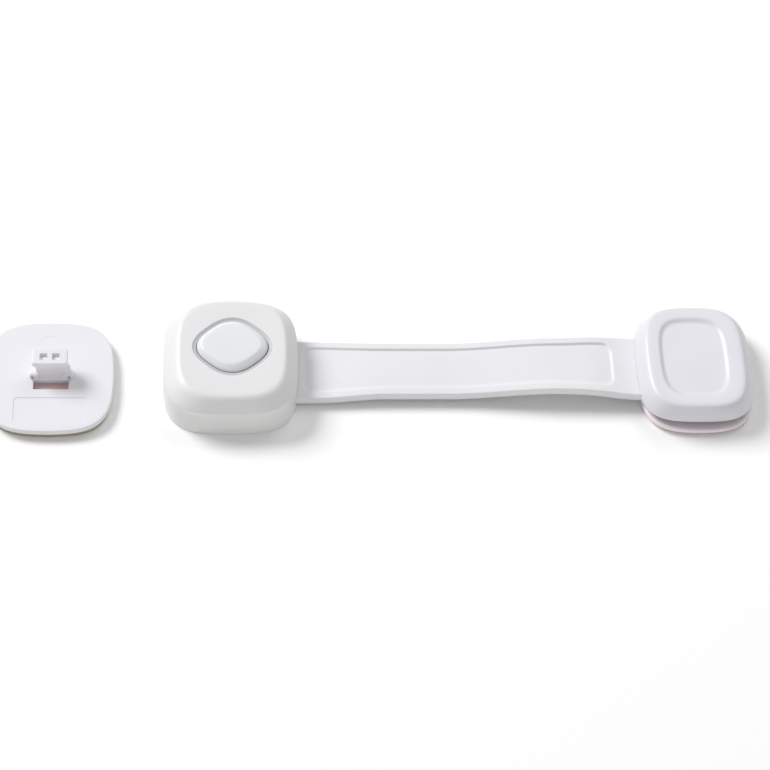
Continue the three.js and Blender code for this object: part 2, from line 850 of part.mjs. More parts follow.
place(head, "lock_cover", lockCover(), headWhite, 0.42);
place(head, "lock_base", lockBase(), innerWhite, 0.5);
place(head, "latch_bridge", latchBridge(), innerGrey, 0.5);
place(head, "strap_keeper", strapKeeper(), innerGrey, 0.5);
place(head, "decoy_button", decoyButton(), buttonWhite, 0.36);
place(head, "decoy_spring", decoySpring(), steel, 0.3, 1);
place(head, "front_button", sideButton(-1), headWhite, 0.42);
place(head, "front_latch", latch(-1), innerGrey, 0.45);
place(head, "front_spring", sideSpring(-1), steel, 0.3, 1);
place(head, "rear_button", sideButton(1), headWhite, 0.42);
place(head, "rear_latch", latch(1), innerGrey, 0.45);
place(head, "rear_spring", sideSpring(1), steel, 0.3, 1);
corners.forEach(([sx, sy], i) => {
  const body = screw(sx * bossX, sy * bossY, screwSunk, screwLength);
  place(head, `cover_screw_${i + 1}`, body, steel, 0.35, 1);
});
place(head, "strap_root", strapRoot(), strapWhite, 0.5);
for (let i = 0; i < strapBends - 1; i += 1) {
  place(head, `strap_link_${i + 1}`, strapLink(i), strapWhite, 0.5);
}
place(head, "strap_paddle", strapPaddle(), strapWhite, 0.5);

place(anchor, "anchor_cap", anchorCap(), capWhite, 0.4);
[-1, 1].forEach((sign, i) => {
  const body = screw(capScrewX, sign * capScrewY, paddleBottom + screwSunk, capScrewLength);
  place(anchor, `cap_screw_${i + 1}`, body, steel, 0.35, 1);
});
place(anchor, "anchor_base", anchorBase(), capWhite, 0.45);
place(anchor, "swivel_washer", swivelWasher(), steel, 0.35, 1);
place(anchor, "swivel_screw", swivelScrew(), steel, 0.35, 1);
const anchorPadBody = pad(anchorHalfX - anchorPadInset, anchorHalfY - anchorPadInset, anchorPad);
place(anchor, "anchor_pad", anchorPadBody, padTan, 0.9);

place(catchGroup, "catch_plate", catchPlate(), catchWhite, 0.42);
const catchPadBody = pad(catchHalfX - catchPadInset, catchHalfY - catchPadInset, catchPad)
  .translate([catchPlateX, 0, 0]);
place(catchGroup, "catch_pad", catchPadBody, padTan, 0.9);

const lock = new THREE.Group();
lock.name = "multi_use_lock";
lock.add(head, anchor, catchGroup);

export default lock;
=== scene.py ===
import json
import math
from collections import namedtuple

import bpy
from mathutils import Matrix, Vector


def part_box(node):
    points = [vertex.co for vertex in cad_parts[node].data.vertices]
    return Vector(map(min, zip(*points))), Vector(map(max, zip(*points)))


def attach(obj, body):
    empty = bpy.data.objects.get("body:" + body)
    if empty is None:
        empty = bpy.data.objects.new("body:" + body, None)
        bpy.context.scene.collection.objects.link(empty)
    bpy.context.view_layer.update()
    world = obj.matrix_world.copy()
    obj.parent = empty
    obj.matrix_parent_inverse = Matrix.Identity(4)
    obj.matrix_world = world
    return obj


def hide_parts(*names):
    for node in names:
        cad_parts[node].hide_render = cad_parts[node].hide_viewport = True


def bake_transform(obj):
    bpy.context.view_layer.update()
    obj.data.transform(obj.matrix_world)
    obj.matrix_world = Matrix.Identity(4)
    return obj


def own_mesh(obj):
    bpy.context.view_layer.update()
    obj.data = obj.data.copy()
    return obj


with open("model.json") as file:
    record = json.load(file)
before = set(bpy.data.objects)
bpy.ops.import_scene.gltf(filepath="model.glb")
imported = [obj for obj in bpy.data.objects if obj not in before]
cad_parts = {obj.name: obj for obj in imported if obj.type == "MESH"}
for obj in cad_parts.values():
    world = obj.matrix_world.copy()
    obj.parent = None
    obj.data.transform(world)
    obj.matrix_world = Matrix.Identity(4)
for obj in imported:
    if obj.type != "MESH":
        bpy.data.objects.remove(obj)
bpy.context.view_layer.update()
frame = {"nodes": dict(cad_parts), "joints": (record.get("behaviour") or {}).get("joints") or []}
mm = 0.001           # sizes below are in mm, and become metres when a mesh is made
sharpAngle = 38      # degrees; steeper edges are shaded sharp


def boxOf(node):
    low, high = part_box(node)
    return low / mm, high / mm


def middleOf(node):
    low, high = boxOf(node)
    return (low + high) / 2


def halfOf(node):
    low, high = boxOf(node)
    return (high - low) / 2


def mix(a, b, t):
    return a + (b - a) * t


def smooth(t, low=0.0, high=1.0):
    t = min(max((t - low) / (high - low), 0), 1)
    return t * t * (3 - 2 * t)


def evenOutline(points, count):
    # the same closed outline with its points evenly spaced along it
    ends = points[1:] + points[:1]
    lengths = [(b - a).length for a, b in zip(points, ends)]
    step = sum(lengths) / count
    even, done, target = [], 0.0, 0.0
    for a, b, length in zip(points, ends, lengths):
        while len(even) < count and target <= done + length:
            even.append(a.lerp(b, (target - done) / length))
            target += step
        done += length
    return even


def bulgedOutline(power, count, turned=False):
    # unit outline with bulging sides, standing on a corner if turned
    fine, fineCount = [], count * 12
    for i in range(fineCount):
        c, s = math.cos(math.tau * i / fineCount), math.sin(math.tau * i / fineCount)
        fine.append(Vector((math.copysign(abs(c) ** (2 / power), c), math.copysign(abs(s) ** (2 / power), s))))
    if turned:
        reach = math.sqrt(2) * 2 ** (-1 / power)
        fine = [p / reach for p in fine]
        fine = [Vector((p.x + p.y, p.y - p.x)) / math.sqrt(2) for p in fine]
        start = max(range(len(fine)), key=lambda i: fine[i].x)
        fine = fine[start:] + fine[:start]
    return evenOutline(fine, count)


def roundOutline(count):
    return [Vector((math.cos(math.tau * i / count), math.sin(math.tau * i / count))) for i in range(count)]


def cornered(halfX, halfY, corner, count):
    # rectangle with round corners, evenly spaced from the middle of its right side
    points = [Vector((halfX, 0))]
    for sx, sy, first in ((1, 1, 0), (-1, 1, 1), (-1, -1, 2), (1, -1, 3)):
        for k in range(13):
            a = (first + k / 12) * math.pi / 2
            points.append(Vector((sx * (halfX - corner) + corner * math.cos(a),
                                  sy * (halfY - corner) + corner * math.sin(a))))
    return evenOutline(points, count)


# one stop on the way around a piece's section; soft is how far its corner is rounded off
Stop = namedtuple("Stop", "halfX halfY z soft shape back aside", defaults=(0.0, 1.0, 0.0, 0.0))


def softened(stops, around=False, steps=6):
    # the stops as a path with its corners rounded off
    most = 0.48           # share of a side that one corner may take

    def between(a, b, t):
        return Stop(*[mix(p, q, t) for p, q in zip(a, b)])

    def gap(a, b):
        return math.hypot((a.halfX - b.halfX + a.halfY - b.halfY) / 2, a.z - b.z) or 1e-6

    path = []
    for i, stop in enumerate(stops):
        inner = around or 0 < i < len(stops) - 1
        if not (inner and stop.soft):
            path.append(stop)
            continue
        before, after = stops[i - 1], stops[(i + 1) % len(stops)]
        first = between(stop, before, min(stop.soft / gap(stop, before), most))
        last = between(stop, after, min(stop.soft / gap(stop, after), most))
        for k in range(steps + 1):
            t = k / steps
            path.append(between(between(first, stop, t), between(stop, last, t), t))
    return path


def ringsOf(path, outlines, middle):
    # each stop's outline is mixed from two outlines by its shape
    inner, outer = outlines
    rings = []
    for stop in path:
        rings.append([Vector((
            middle.x + mix(a.x, b.x, stop.shape) * stop.halfX + stop.aside,
            middle.y + mix(a.y, b.y, stop.shape) * stop.halfY + stop.back,
            stop.z)) for a, b in zip(inner, outer)])
    return rings


def flatRing(outline, x, y, z, growX=1.0, growY=None):
    # one outline laid flat at a height
    growY = growX if growY is None else growY
    return [Vector((x + p.x * growX, y + p.y * growY, z)) for p in outline]


def loft(rings, around=False):
    # skin over the rings, closed by a face at each end unless the rings go around
    count, last = len(rings[0]), len(rings) - 1
    points = [p for ring in rings for p in ring]
    faces = []
    for r in range(last + (1 if around else 0)):
        a, b = r * count, (r + 1) % len(rings) * count
        for i in range(count):
            j = (i + 1) % count
            faces.append((a + i, a + j, b + j, b + i))
    if not around:
        faces.append(tuple(range(count - 1, -1, -1)))
        faces.append(tuple(range(last * count, (last + 1) * count)))
    return points, faces


def softShade(piece, sharp):
    piece.data.shade_smooth()
    piece.data.set_sharp_from_angle(angle=math.radians(sharp))


def makePiece(name, skin, sharp=sharpAngle):
    points, faces = skin
    mesh = bpy.data.meshes.new(name)
    mesh.from_pydata([p * mm for p in points], [], faces)
    mesh.validate()
    piece = bpy.data.objects.new(name, mesh)
    bpy.context.scene.collection.objects.link(piece)
    softShade(piece, sharp)
    return piece


def makeCutter(rings):
    return makePiece("cutter", loft(rings))


def carve(piece, cutters, operation="DIFFERENCE", sharp=sharpAngle):
    for cutter in cutters:
        cut = piece.modifiers.new("cut", "BOOLEAN")
        cut.object = cutter
        cut.operation = operation
        cut.solver = "EXACT"
    graph = bpy.context.evaluated_depsgraph_get()
    mesh = bpy.data.meshes.new_from_object(piece.evaluated_get(graph))
    piece.modifiers.clear()
    piece.data = mesh
    softShade(piece, sharp)
    for cutter in cutters:
        bpy.data.objects.remove(cutter)


def blockCutter(low, high):
    outline = [Vector(p) for p in ((high[0], high[1]), (low[0], high[1]), (low[0], low[1]), (high[0], low[1]))]
    return makeCutter([flatRing(outline, 0, 0, z) for z in (low[2], high[2])])


def postCutter(x, y, radius, low, high, count=40):
    return makeCutter([flatRing(roundOutline(count), x, y, z, radius) for z in (low, high)])


# what more than one piece follows
lockMid, lockHalf = middleOf("lock_cover"), halfOf("lock_cover")
anchorMid = middleOf("anchor_base")
catchMid = middleOf("catch_plate")
shellTop = boxOf("lock_cover")[1].z
outlineCount = 216
squarePower, diamondPower = 3.8, 2.7         # higher is more square
squareOutline = bulgedOutline(squarePower, outlineCount)
diamondOutline = bulgedOutline(diamondPower, outlineCount, turned=True)


def mixedOutline(share):
    return [a.lerp(b, share) for a, b in zip(diamondOutline, squareOutline)]


plateOutline = mixedOutline(0.84)            # rounder, for the anchor's base, the catch and the pads
capOutline = mixedOutline(0.93)


class Wire:
    # a node socket that takes part in sums
    def __init__(self, finish, socket):
        self.finish, self.socket = finish, socket

    def sum(self, operation, a, b):
        return self.finish.node("ShaderNodeMath", {"operation": operation}, {0: a, 1: b})

    def __add__(self, other): return self.sum("ADD", self, other)
    def __radd__(self, other): return self.sum("ADD", other, self)
    def __sub__(self, other): return self.sum("SUBTRACT", self, other)
    def __rsub__(self, other): return self.sum("SUBTRACT", other, self)
    def __mul__(self, other): return self.sum("MULTIPLY", self, other)
    def __rmul__(self, other): return self.sum("MULTIPLY", other, self)


class Finish:
    # a material under construction
    def __init__(self, name):
        self.material = bpy.data.materials.new(name)
        self.material.use_nodes = True
        self.tree = self.material.node_tree
        self.tree.nodes.clear()
        self.out = self.tree.nodes.new("ShaderNodeOutputMaterial")
        self.place = self.node("ShaderNodeTexCoord", {}, {}, "Object")

    def node(self, kind, settings, sockets, output=0):
        made = self.tree.nodes.new(kind)
        for key, value in settings.items():
            setattr(made, key, value)
        for key, value in sockets.items():
            socket = made.inputs[key]
            if isinstance(value, Wire):
                self.tree.links.new(value.socket, socket)
            else:
                socket.default_value = value
        return Wire(self, made.outputs[output])

    def noise(self, scale, detail, rough=0.5, stretch=(1, 1, 1)):
        place = self.place
        if stretch != (1, 1, 1):
            place = self.node("ShaderNodeVectorMath", {"operation": "MULTIPLY"}, {0: place, 1: stretch})
        return self.node("ShaderNodeTexNoise", {},
                         {"Vector": place, "Scale": scale, "Detail": detail, "Roughness": rough}, "Fac")

    def blend(self, factor, a, b):
        # 6, 7 and 2 are the Mix node's colour sockets
        return self.node("ShaderNodeMix", {"data_type": "RGBA"}, {"Factor": factor, 6: a, 7: b}, 2)

    def ramp(self, value, low, high):
        return self.node("ShaderNodeMapRange", {"interpolation_type": "SMOOTHSTEP"},
                         {"Value": value, "From Min": low, "From Max": high})

    def bump(self, height, strength, distance):
        return self.node("ShaderNodeBump", {}, {"Height": height, "Strength": strength, "Distance": distance})

    def surface(self, sockets, kind="ShaderNodeBsdfPrincipled"):
        shader = self.node(kind, {}, sockets)
        self.tree.links.new(shader.socket, self.out.inputs["Surface"])
        return self.material


def linear(color):
    # picked colour, 0 to 255, as the shader wants it
    return tuple(((v / 255 + 0.055) / 1.055) ** 2.4 for v in color) + (1.0,)


plasticLook = {
    "color": (232, 232, 233), "tint": (229, 229, 231),
    "cloudScale": 30, "cloudRange": (0.3, 0.7),                     # slow drift of the pigment
    "rough": 0.40, "grainRough": 0.10, "flowRough": 0.08,
    "grainScale": 2600, "grain": 1.0,                               # spark-eroded mould face
    "flowScale": 90, "flow": (1, 1, 1), "flowHeight": 0.4,          # melt lines
    "speckScale": 1500, "speckRange": (0.70, 0.78),                 # stray dust in the melt
    "speckColor": (196, 194, 190), "speck": 0.06,
    "bump": 0.35, "bumpDepth": 0.00004, "ior": 1.49,
}


def mouldedPlastic(name, **changes):
    look = {**plasticLook, **changes}
    f = Finish(name)
    cloud = f.noise(look["cloudScale"], 2)
    grain = f.noise(look["grainScale"], 3, 0.6)
    flow = f.noise(look["flowScale"], 4, 0.55, look["flow"])
    speck = f.ramp(f.noise(look["speckScale"], 1), *look["speckRange"])
    color = f.blend(f.ramp(cloud, *look["cloudRange"]), linear(look["color"]), linear(look["tint"]))
    color = f.blend(speck * look["speck"], color, linear(look["speckColor"]))
    rough = look["rough"] + (grain - 0.5) * look["grainRough"] + (flow - 0.5) * look["flowRough"]
    height = grain * look["grain"] + flow * look["flowHeight"]
    return f.surface({"Base Color": color, "Roughness": rough, "IOR": look["ior"],
                      "Normal": f.bump(height, look["bump"], look["bumpDepth"])})


shellFinish = mouldedPlastic("headWhite")
buttonFinish = mouldedPlastic("buttonWhite", color=(232, 234, 237), tint=(229, 232, 235), rough=0.33, grain=0.6)
strapFinish = mouldedPlastic("strapSoftWhite", color=(235, 234, 237), tint=(231, 230, 234), rough=0.46,
                             flow=(0.25, 2.0, 1), flowHeight=1.0)
anchorFinish = mouldedPlastic("anchorCoolWhite", color=(227, 226, 233), tint=(224, 223, 230), rough=0.36, grain=0.6)
# paler than the cap's white: painted light that brightens the base rim where it sits in the cap's shade
paintedLightRimFinish = mouldedPlastic("anchorRimPaintedLight", color=(247, 236, 240), tint=(243, 232, 237), rough=0.4, grain=0.6)
catchFinish = mouldedPlastic("catchCoolWhite", color=(236, 235, 240), tint=(233, 232, 238), rough=0.38, grain=0.7)
# grey that stands in for shade: painted shade of the dished ring around the proud button
ringShadeFinish = mouldedPlastic("ringPaintedShadeGrey", color=(199, 199, 200), tint=(194, 194, 196), rough=0.5)
innerFinish = mouldedPlastic("innerGreyWhite", color=(206, 208, 211), tint=(198, 200, 204), rough=0.5)

foamLook = {
    "color": (168, 162, 142), "tint": (150, 143, 122), "tintShare": 0.5, "cloudScale": 220,
    "poreColor": (108, 102, 82), "poreScale": 2400, "poreRange": (0.12, 0.42),
    "film": (228, 198, 196), "filmRange": (0.5, 0.8),               # adhesive on the faces
    "rough": 0.86, "roughDrift": 0.12, "cloudHeight": 0.5,
    "bump": 0.6, "bumpDepth": 0.00012, "ior": 1.4,
}


def foamTape(name, look):
    f = Finish(name)
    cells = f.node("ShaderNodeTexVoronoi", {"feature": "F1"},
                   {"Vector": f.place, "Scale": look["poreScale"]}, "Distance")
    cloud = f.noise(look["cloudScale"], 4, 0.6)
    pore = f.ramp(cells, *look["poreRange"])
    color = f.blend(pore, linear(look["poreColor"]), linear(look["color"]))
    color = f.blend(cloud * look["tintShare"], color, linear(look["tint"]))
    facing = f.node("ShaderNodeSeparateXYZ", {}, {0: f.node("ShaderNodeTexCoord", {}, {}, "Normal")}, "Z")
    color = f.blend(f.ramp(facing * facing, *look["filmRange"]), color, linear(look["film"]))
    rough = look["rough"] + (cloud - 0.5) * look["roughDrift"]
    height = pore + cloud * look["cloudHeight"]
    return f.surface({"Base Color": color, "Roughness": rough, "IOR": look["ior"],
                      "Normal": f.bump(height, look["bump"], look["bumpDepth"])})


padFinish = foamTape("adhesiveFoam", foamLook)

steelLook = {
    "color": (190, 193, 196), "stain": (150, 150, 148), "stainShare": 0.5,
    "stainScale": 160, "stainRange": (0.45, 0.75),
    "drawn": (1, 1, 0.2), "drawnScale": 900,                        # marks left by drawing the wire
    "rough": 0.34, "drawnRough": 0.2, "stainRough": 0.08,
    "bump": 0.3, "bumpDepth": 0.00002,
}


def brightSteel(name, **changes):
    look = {**steelLook, **changes}
    f = Finish(name)
    drawn = f.noise(look["drawnScale"], 4, 0.6, look["drawn"])
    stain = f.ramp(f.noise(look["stainScale"], 3), *look["stainRange"])
    color = f.blend(stain * look["stainShare"], linear(look["color"]), linear(look["stain"]))
    rough = look["rough"] + (drawn - 0.5) * look["drawnRough"] + stain * look["stainRough"]
    return f.surface({"Base Color": color, "Metallic": 1.0, "Roughness": rough,
                      "Normal": f.bump(drawn, look["bump"], look["bumpDepth"])})


screwFinish = brightSteel("screwSteel")
springFinish = brightSteel("springSteel", color=(178, 180, 182), stain=(120, 118, 114), rough=0.28,
                           drawn=(0.4, 0.4, 1))
print("finishes:", len(bpy.data.materials))


def dress(piece, finish, body=None, nodes=()):
    piece.data.materials.clear()
    piece.data.materials.append(finish)
    if nodes:
        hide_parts(*nodes)
    if body:
        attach(piece, body)
    return piece


shell = {
    "belt": 14.0, "beltHalf": (27.3, 27.5), "beltBack": 0.4, "beltSoft": 3.0,          # crease around the walls
    "topHalf": (21.9, 24.0), "topBack": 0.9, "topAside": 0.7, "topShape": 0.85, "topSoft": 2.0,
    "wallShape": 0.91, "footSoft": 0.35,
    "wall": 2.0, "topWall": 2.2, "insideSoft": 0.2,
    "scoopTop": 13.4, "scoopBottom": 1.0, "scoopDepth": 0.8, "scoopLean": 2.0, "scoopSteps": 16,
    "slot": (14.4, 0.8, 5.3), "slotStart": 15.6,          # strap's way out: half width, bottom, top
}
decoy = {
    "half": (14.4, 12.4), "back": 2.0, "aside": 0.8,      # where it sits from the head's middle
    "gap": 0.3, "ring": 1.8, "ringDrop": 0.45, "ringLine": 0.03, "ringEdge": 0.08,
    "edgeRun": 2.6, "edgeFoot": 0.35, "lean": 0.6, "crown": 0.25, "flange": 1.5,
    "edge": ((0, 0.0), (0.03, 0.16), (0.1, 0.3), (0.2, 0.42), (0.35, 0.55), (0.5, 0.67), (0.65, 0.79),
             (0.78, 0.88), (0.88, 0.945), (0.95, 0.98), (1, 1)),         # share inwards, share of the rise
}
sideButton = {
    "half": 15.0, "low": 2.7, "high": 13.0, "corner": 2.6,
    "gap": 0.03,                                          # to the wall around it
    "inner": 22.6,                                        # where it meets its latch
    "cutIn": 12.0, "cutOut": 1.5,
}


def shellHalf(z):
    foot, belt, top = (lockHalf.x, lockHalf.y), shell["beltHalf"], shell["topHalf"]
    if z < shell["belt"]:
        return [mix(a, b, z / shell["belt"]) for a, b in zip(foot, belt)]
    return [mix(a, b, (z - shell["belt"]) / (shellTop - shell["belt"])) for a, b in zip(belt, top)]


def wallHalf(z):
    # as shellHalf, with the thumb scoops in the front and rear walls
    halfX, halfY = shellHalf(z)
    across = (z - shell["scoopBottom"]) / (shell["scoopTop"] - shell["scoopBottom"])
    across = min(max(across, 0), 1)
    return halfX, halfY - shell["scoopDepth"] * math.sin(math.pi * across ** shell["scoopLean"])


def wallDepth(x, z):
    # about how far the front or rear wall stands from the head's middle at this place
    halfX, halfY = wallHalf(z)
    return halfY * (1 - abs(x / halfX) ** squarePower) ** (1 / squarePower)


def outerStops():
    # from the bottom edge up the scooped wall and over the belt to the top edge
    steps, shape = shell["scoopSteps"], shell["wallShape"]
    levels = [mix(shell["scoopBottom"], shell["scoopTop"], k / steps) for k in range(steps + 1)]
    return [
        Stop(*wallHalf(0.0), 0.0, shell["footSoft"], shape),
        *[Stop(*wallHalf(z), z, 0, shape) for z in levels],
        Stop(*shell["beltHalf"], shell["belt"], shell["beltSoft"], shape, shell["beltBack"]),
        Stop(*shell["topHalf"], shellTop, shell["topSoft"], shell["topShape"], shell["topBack"], shell["topAside"]),
    ]


def sideCutter(side, grow, flatInside):
    # block that follows the wall's curve and reaches through it
    low, high = sideButton["low"] - grow, sideButton["high"] + grow
    middle = (low + high) / 2
    outline = cornered(sideButton["half"] + grow, (high - low) / 2, sideButton["corner"] + grow, 160)
    if side > 0:
        outline = [Vector((-p.x, p.y)) for p in outline]
    rings = []
    for depth in (sideButton["cutIn"], 0.0, -sideButton["cutOut"]):
        flat = flatInside and depth > 0
        rings.append([Vector((
            lockMid.x + p.x,
            lockMid.y + side * (sideButton["inner"] if flat else wallDepth(p.x, middle + p.y) - depth),
            middle + p.y)) for p in outline])
    return makeCutter(rings)


def makeCover():
    ringX, ringY = [h + decoy["ring"] for h in decoy["half"]]
    flatX, flatY = [h - 1 for h in shell["topHalf"]]
    back, aside = decoy["back"], decoy["aside"]
    under = shellTop - shell["topWall"]
    stops = outerStops()
    for t in (0.25, 0.5, 0.75):           # the top turns from square to diamond
        stops.append(Stop(mix(flatX, ringX, t), mix(flatY, ringY, t), shellTop, 0, 1 - t,
                          mix(shell["topBack"], back, t), mix(shell["topAside"], aside, t)))
    stops += [
        Stop(ringX, ringY, shellTop, 0.3, 0, back, aside),
        Stop(ringX, ringY, under, 0.1, 0, back, aside),
    ]
    for z in (under, shell["belt"], 0):
        halfX, halfY = [h - shell["wall"] for h in shellHalf(z)]
        stops.append(Stop(halfX, halfY - shell["scoopDepth"], z, shell["insideSoft"]))
    path = softened(stops, around=True)
    cover = makePiece("lockCover", loft(ringsOf(path, (diamondOutline, squareOutline), lockMid), around=True))
    slotHalf, low, high = shell["slot"]
    cutters = [blockCutter((lockMid.x + shell["slotStart"], lockMid.y - slotHalf, low),
                           (lockMid.x + lockHalf.x + 1, lockMid.y + slotHalf, high))]
    cutters += [sideCutter(side, sideButton["gap"], False) for side in (-1, 1)]
    carve(cover, cutters)
    return dress(cover, shellFinish, "lock_head", ["lock_cover"])


def makeSideButton(name, side, body, node):
    # cut out of the shell's own surface, so that it lies flush with the scooped wall
    core = 0.3
    path = [Stop(core, core, 0)] + softened(outerStops()) + [Stop(core, core, shellTop)]
    button = makePiece(name, loft(ringsOf(path, (diamondOutline, squareOutline), lockMid)))
    carve(button, [sideCutter(side, 0, True)], "INTERSECT")
    return dress(button, shellFinish, body, [node])


def makeShadeRing():
    # ring let into the top around the button, grey with painted shade: its grey stands in for the shade in the dish
    # beside the proud button
    outX, outY = [h + decoy["ring"] - decoy["ringLine"] for h in decoy["half"]]
    inX, inY = [h + decoy["gap"] for h in decoy["half"]]
    under, dish = shellTop - shell["topWall"], shellTop - decoy["ringDrop"]
    levels = [                            # share inwards, height, rounding
        (0.0, under, 0.1), (0.0, shellTop - decoy["ringEdge"], 0.2), (0.5, dish, 0.5),
        (1.0, dish - 0.1, 0.2), (1.0, under, 0.1),
    ]
    stops = [Stop(mix(outX, inX, t), mix(outY, inY, t), z, soft, 0, decoy["back"], decoy["aside"])
             for t, z, soft in levels]
    rings = ringsOf(softened(stops, around=True), (diamondOutline, diamondOutline), lockMid)
    return dress(makePiece("shadeRing", loft(rings, around=True)), ringShadeFinish, "lock_head")


def makeDecoy():
    low, high = boxOf("decoy_button")
    halfX, halfY = decoy["half"]
    topX, topY = [h - decoy["edgeRun"] for h in decoy["half"]]
    back, aside = decoy["back"], decoy["aside"]
    foot = shellTop - decoy["edgeFoot"]
    rise = high.z - decoy["crown"] - foot
    flangeTop = low.z + decoy["flange"]
    lip = decoy["ring"] + decoy["gap"]
    path = softened([
        Stop(halfX * 0.5, halfY * 0.5, low.z, 0, 0, back, aside),
        Stop(halfX + lip, halfY + lip, low.z, 0.2, 0, back, aside),
        Stop(halfX + lip, halfY + lip, flangeTop, 0.2, 0, back, aside),
        Stop(halfX, halfY, flangeTop, 0, 0, back, aside),
    ])
    for t, up in decoy["edge"]:
        path.append(Stop(mix(halfX, topX, t), mix(halfY, topY, t), foot + rise * up, 0, 0,
                         back, aside - decoy["lean"] * t))
    for t in (0.9, 0.75, 0.6, 0.45, 0.3, 0.15, 0.05):
        path.append(Stop(topX * t, topY * t, high.z - decoy["crown"] * t * t, 0, 0, back, aside - decoy["lean"]))
    piece = makePiece("decoyButton", loft(ringsOf(path, (diamondOutline, diamondOutline), lockMid)))
    return dress(piece, buttonFinish, "decoy", ["decoy_button"])


makeCover()
makeSideButton("frontButton", -1, "front_release", "front_button")
makeSideButton("rearButton", 1, "rear_release", "rear_button")
makeShadeRing()
makeDecoy()
print("lock head made")

# the strap is made in three lengths that each span one hinge; x runs from the head's middle
strap = {
    "halfWidth": 12.9, "flare": 1.4, "flareHold": 6.0, "flareRun": 36.0,
    "thick": 4.0, "floor": 3.25, "edge": 0.8,
    "recess": (28.8, 156.4), "recessCorner": 5.0,
    "rim": 2.9, "rimSlope": 0.7, "frontSlope": 2.2, "endSlope": 1.6,
    "rise": 1.0, "risePart": (0.06, 0.26),                # parts of the way from head to anchor
    "lift": 3.8, "liftPart": (0.44, 0.75), "dropPart": (0.82, 1.0),
    "dip": 0.8, "dipPart": (0.86, 0.99), "dipOut": (2.0, 8.0),
    "start": 15.6, "tuck": 0.8, "paddleBottom": 4.4,
    "peg": (19.5, 7.0, 2.1), "eye": 4.6, "screwHead": (2.35, 1.4), "screwShank": 1.25,
    "bendReach": 14.0, "sharp": 50,
    "step": 1.2, "fineStep": 0.3, "fineReach": 1.6, "fineSpots": (-2.5, -1, 0, 1, 2.5),
    "across": (0, 0.3, 0.6, 0.9, 1.1, 1.3, 1.5, 1.7, 1.9, 2.1, 2.3, 2.5, 2.8, 3.2, 3.8, 4.6, 5.6, 7.0, 8.6, 10.2),
}
strapOut = lockHalf.x
strapIn = boxOf("anchor_base")[0].x + strap["tuck"] - lockMid.x
strapEnd = boxOf("strap_paddle")[1].x - lockMid.x
rootBottom = boxOf("strap_root")[0].z
paddleBottom = strap["paddleBottom"]


def strapHeight(x):
    t = (x - strapOut) / (strapIn - strapOut)
    hump = strap["rise"] * smooth(t, *strap["risePart"]) + strap["lift"] * smooth(t, *strap["liftPart"])
    drop = (rootBottom + strap["rise"] + strap["lift"] - paddleBottom) * smooth(t, *strap["dropPart"])
    dipFirst, dipLast = [strapIn + s for s in strap["dipOut"]]
    dip = strap["dip"] * smooth(t, *strap["dipPart"]) * (1 - smooth(x, dipFirst, dipLast))
    return rootBottom + hump - drop - dip


def strapHalf(x):
    fromHead = 1 - smooth(x, strapOut + strap["flareHold"], strapOut + strap["flareRun"])
    fromAnchor = smooth(x, strapIn - strap["flareRun"], strapIn)
    return strap["halfWidth"] + strap["flare"] * max(fromHead, fromAnchor)


def strapSunk(x, y):
    # depth of the recess: full inside a long rectangle with round corners, nothing outside
    low, high = strap["recess"]
    corner = strap["recessCorner"]
    outX = abs(x - (low + high) / 2) - ((high - low) / 2 - corner)
    outY = abs(y) - (strapHalf(x) - strap["rim"] - corner)
    outside = math.hypot(max(outX, 0), max(outY, 0)) + min(max(outX, outY), 0) - corner
    sideSlope = strap["rimSlope"] if y > 0 else strap["frontSlope"]
    slope = mix(sideSlope, strap["endSlope"], smooth(outX - outY, -2, 2))
    return (strap["thick"] - strap["floor"]) * smooth(-outside / slope)


def strapRing(x, grow=0.0):
    # the strap's section at x; a grown one is plain on top
    half, edge, thick = strapHalf(x) + grow, strap["edge"], strap["thick"] + grow
    base = strapHeight(x)
    side, low, high = half - edge, base + edge, base + thick - edge

    def corner(y, z, first, steps):
        turns = [(first + k / 6) * math.pi / 2 for k in steps]
        return [(y + edge * math.cos(a), z + edge * math.sin(a)) for a in turns]

    across = [side - s for s in strap["across"]]
    across = across + [0] + [-y for y in reversed(across)]
    points = [(y, base) for y in (-side, 0, side)]
    points += corner(side, low, -1, range(1, 6))
    points += corner(side, high, 0, range(6))
    points += [(y, base + thick - (0 if grow else strapSunk(x, y))) for y in across]
    points += corner(-side, high, 1, range(1, 7))
    points += corner(-side, low, 2, range(1, 6))
    return [Vector((lockMid.x + x, lockMid.y + y, z)) for y, z in points]


def strapStations(start, end):
    # where the sections stand, closer at the ends of the recess
    stations, x = [], start
    while x < end - 0.01:
        stations.append(x)
        nearEnd = min(abs(x - at - shift) for at in strap["recess"] for shift in strap["fineSpots"])
        x += strap["fineStep"] if nearEnd < strap["fineReach"] else strap["step"]
    return stations + [end]


def strapHoles(name):
    below, above = -1, 12
    if name == "strapNear":
        x, y, radius = strap["peg"]
        return [postCutter(lockMid.x + x, lockMid.y + s * y, radius, below, above) for s in (-1, 1)]
    if name == "strapMiddle":
        return []
    holes = [postCutter(anchorMid.x, anchorMid.y, strap["eye"], below, above, 64)]
    headRadius, headDepth = strap["screwHead"]
    for screw in ("cap_screw_1", "cap_screw_2"):
        at = middleOf(screw)
        holes.append(postCutter(at.x, at.y, headRadius, below, paddleBottom + headDepth))
        holes.append(postCutter(at.x, at.y, strap["screwShank"], below, above))
    return holes


